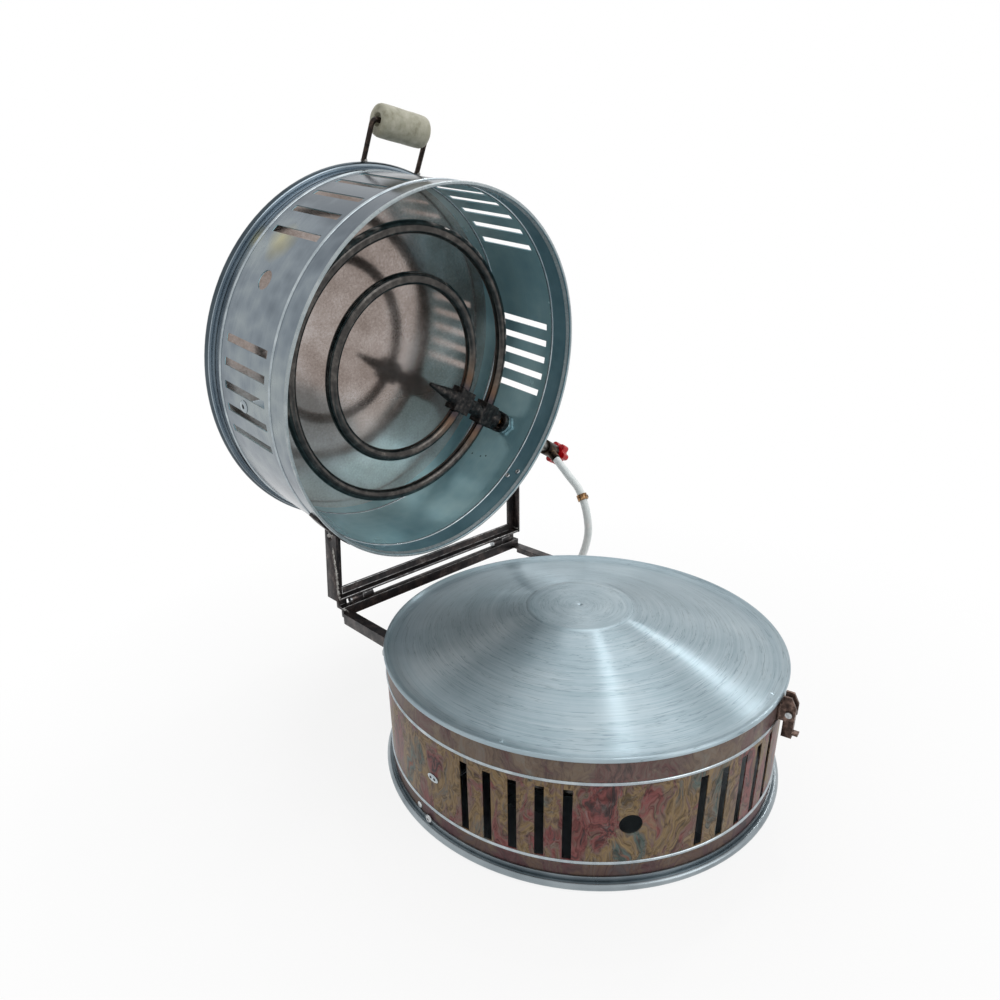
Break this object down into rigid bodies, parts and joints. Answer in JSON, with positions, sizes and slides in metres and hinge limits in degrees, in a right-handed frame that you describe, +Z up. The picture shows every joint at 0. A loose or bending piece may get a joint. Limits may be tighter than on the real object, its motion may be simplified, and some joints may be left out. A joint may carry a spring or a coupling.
{
  "type": "gas tandoor",
  "caption": "Round countertop gas tandoor: vented drum with a domed baking plate, a hinged lid drum with a ring burner, hose, valves, latch and handle.",
  "frame": {"origin": "middle of the base drum's underside, on the table", "axes": "+Z up; the hinge line runs along X at the back, which is +Y; the front with the latch is -Y"},
  "size_m": [0.527, 0.5943, 0.6551],
  "materials": {
    "galvanised_steel": "bare galvanised sheet, slightly dull",
    "printed_tinplate": "printed and lacquered sheet, satin",
    "spun_aluminium": "spun, with fine turning rings",
    "bright_steel": "bright zinc plate",
    "burner_tube": "bare tube with heat tint at the ends",
    "burner_casting": "rough casting, heat tinted",
    "mill_scale_steel": "rolled section with mill scale and worn edges",
    "valve_brass": "plain brass",
    "red_plastic": "glossy moulding",
    "rusty_steel": "rust-brown pressed steel",
    "pale_wood": "pale turned wood, unvarnished",
    "white_rubber": "smooth white hose"
  },
  "bodies": {
    "base": {"base_tray": "galvanised_steel", "base_shell": "printed_tinplate", "baking_plate": "spun_aluminium", "plate_rivets": "bright_steel", "base_rivets": "bright_steel", "base_outer_burner": "burner_tube", "base_inner_burner": "burner_tube", "base_manifold": "burner_casting", "base_jet": "valve_brass", "base_stem": "mill_scale_steel", "base_stem_nuts": "bright_steel", "base_valve_body": "valve_brass", "gas_tee": "valve_brass", "base_burner_bracket": "galvanised_steel", "base_bracket_bolt": "bright_steel", "lower_bar": "mill_scale_steel", "lower_left_arm": "mill_scale_steel", "lower_right_arm": "mill_scale_steel", "lower_frame_rivets": "bright_steel", "lower_left_barrel": "mill_scale_steel", "lower_right_barrel": "mill_scale_steel", "left_hinge_pin": "bright_steel", "right_hinge_pin": "bright_steel", "latch_bracket": "rusty_steel", "latch_pin": "bright_steel", "lower_hose_clamp": "valve_brass"},
    "lid": {"lid_shell": "galvanised_steel", "lid_back": "galvanised_steel", "lid_outer_burner": "burner_tube", "lid_inner_burner": "burner_tube", "lid_manifold": "burner_casting", "lid_jet": "valve_brass", "lid_stem": "mill_scale_steel", "lid_stem_nuts": "bright_steel", "lid_valve_body": "valve_brass", "lid_burner_bracket": "galvanised_steel", "lid_bracket_bolt": "bright_steel", "upper_bar": "mill_scale_steel", "upper_left_arm": "mill_scale_steel", "upper_right_arm": "mill_scale_steel", "upper_frame_rivets": "bright_steel", "upper_left_barrel": "mill_scale_steel", "upper_right_barrel": "mill_scale_steel", "handle_wire": "bright_steel", "gas_hose": "white_rubber", "upper_hose_clamp": "valve_brass"},
    "base_knob": {"base_knob": "red_plastic"},
    "lid_knob": {"lid_knob": "red_plastic"},
    "grip": {"handle_grip": "pale_wood"},
    "latch": {"latch_lever": "rusty_steel"}
  },
  "joints": [
    {"name": "lid_hinge", "type": "hinge", "parent": "base", "child": "lid", "pos_m": [0, 0.2305, 0.1424], "axis": [1, 0, 0], "range_deg": [0, 81], "deforming": ["gas_hose"]},
    {"name": "base_knob_turn", "type": "hinge", "parent": "base", "child": "base_knob", "pos_m": [0.15391, 0.197, 0.0646], "axis": [0.6157, 0.788, 0], "range_deg": [0, 540]},
    {"name": "lid_knob_turn", "type": "hinge", "parent": "lid", "child": "lid_knob", "pos_m": [0.27993, 0.29072, 0.22626], "axis": [0.8721, 0.0766, -0.4834], "range_deg": [0, 540]},
    {"name": "grip_spin", "type": "hinge", "parent": "lid", "child": "grip", "pos_m": [0.03455, 0.29292, 0.63457], "axis": [0.9903, 0.0218, -0.1375], "continuous": true},
    {"name": "latch_swing", "type": "hinge", "parent": "base", "child": "latch", "pos_m": [0.04064, -0.20909, 0.1217], "axis": [-0.9816, -0.1908, 0], "range_deg": [0, 180]}
  ]
}
